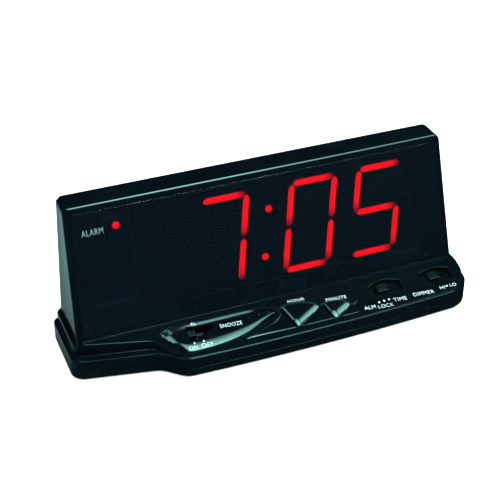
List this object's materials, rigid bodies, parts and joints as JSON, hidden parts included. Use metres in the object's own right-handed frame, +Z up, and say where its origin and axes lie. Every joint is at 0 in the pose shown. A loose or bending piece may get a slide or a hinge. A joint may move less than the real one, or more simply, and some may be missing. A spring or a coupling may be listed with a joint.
{
  "type": "digital alarm clock",
  "caption": "Glossy black digital alarm clock with a wide leaning display window, a two-tier base and a front deck with a snooze bar, push buttons and slide switches.",
  "frame": {"origin": "on the table under the middle of the object's box", "axes": "+X to the user's right, -Y to the front, +Z up"},
  "size_m": [0.2078, 0.0579, 0.0818],
  "materials": {
    "gloss_black": "glossy moulded black plastic with a cool tint",
    "satin_black": "fine-textured black plastic",
    "smoked_lens": "polished smoked acrylic window",
    "component_black": "moulded black component body",
    "switch_can": "plated steel switch can",
    "board_tan": "phenolic circuit board",
    "board_green": "green circuit board",
    "reflector_grey": "moulded display reflector",
    "segment_sheet": "display face sheet with lit red segments",
    "lamp_red": "lit red lamp",
    "sleeve_blue": "shrink sleeve",
    "core_iron": "varnished iron laminations",
    "winding_tape": "yellow winding tape",
    "battery_sleeve": "plain dark battery sleeve",
    "ribbon_grey": "grey ribbon cable",
    "foot_rubber": "soft black rubber",
    "screw_steel": "zinc-plated steel"
  },
  "bodies": {
    "case": {"front_housing": "gloss_black", "rear_cover": "gloss_black", "bottom_cover": "satin_black", "display_lens": "smoked_lens", "snooze_switch": "component_black", "hour_switch": "component_black", "minute_switch": "component_black", "alarm_switch": "switch_can", "set_switch": "switch_can", "dimmer_switch": "switch_can", "key_board": "board_tan", "led_display": "reflector_grey", "display_sheet": "segment_sheet", "alarm_lamp": "lamp_red", "main_board": "board_green", "clock_chip": "component_black", "filter_capacitor": "sleeve_blue", "buzzer": "component_black", "display_screw_left": "screw_steel", "display_screw_right": "screw_steel", "transformer_core": "core_iron", "transformer_winding": "winding_tape", "backup_battery": "battery_sleeve", "battery_snap": "component_black", "ribbon_cable": "ribbon_grey", "cord_gland": "satin_black", "foot_front_left": "foot_rubber", "foot_front_right": "foot_rubber", "foot_rear_left": "foot_rubber", "foot_rear_right": "foot_rubber", "case_screw_front_left": "screw_steel", "case_screw_front_right": "screw_steel", "case_screw_rear_left": "screw_steel", "case_screw_rear_right": "screw_steel", "key_board_screw_left": "screw_steel", "key_board_screw_middle": "screw_steel", "key_board_screw_right": "screw_steel"},
    "snooze": {"snooze_bar": "gloss_black", "snooze_plunger": "component_black"},
    "hour": {"hour_button": "gloss_black", "hour_plunger": "component_black"},
    "minute": {"minute_button": "gloss_black", "minute_plunger": "component_black"},
    "alarm_slider": {"alarm_knob": "satin_black"},
    "set_slider": {"set_knob": "satin_black"},
    "dimmer_slider": {"dimmer_knob": "satin_black"},
    "door": {"battery_door": "satin_black"}
  },
  "joints": [
    {"name": "snooze_press", "type": "slide", "parent": "case", "child": "snooze", "axis": [0, 0.2756, -0.9613], "range_m": [0, 0.0012], "stiffness_N_per_m": 1200, "springref_m": -0.0003},
    {"name": "hour_press", "type": "slide", "parent": "case", "child": "hour", "axis": [0, 0.2756, -0.9613], "range_m": [0, 0.001], "stiffness_N_per_m": 1000, "springref_m": -0.0003},
    {"name": "minute_press", "type": "slide", "parent": "case", "child": "minute", "axis": [0, 0.2756, -0.9613], "range_m": [0, 0.001], "stiffness_N_per_m": 1000, "springref_m": -0.0003},
    {"name": "alarm_slide", "type": "slide", "parent": "case", "child": "alarm_slider", "axis": [1, 0, 0], "range_m": [0, 0.004]},
    {"name": "set_slide", "type": "slide", "parent": "case", "child": "set_slider", "axis": [1, 0, 0], "range_m": [-0.0028, 0.0028]},
    {"name": "dimmer_slide", "type": "slide", "parent": "case", "child": "dimmer_slider", "axis": [1, 0, 0], "range_m": [0, 0.004]},
    {"name": "door_slide", "type": "slide", "parent": "case", "child": "door", "axis": [1, 0, 0], "range_m": [0, 0.006]}
  ]
}
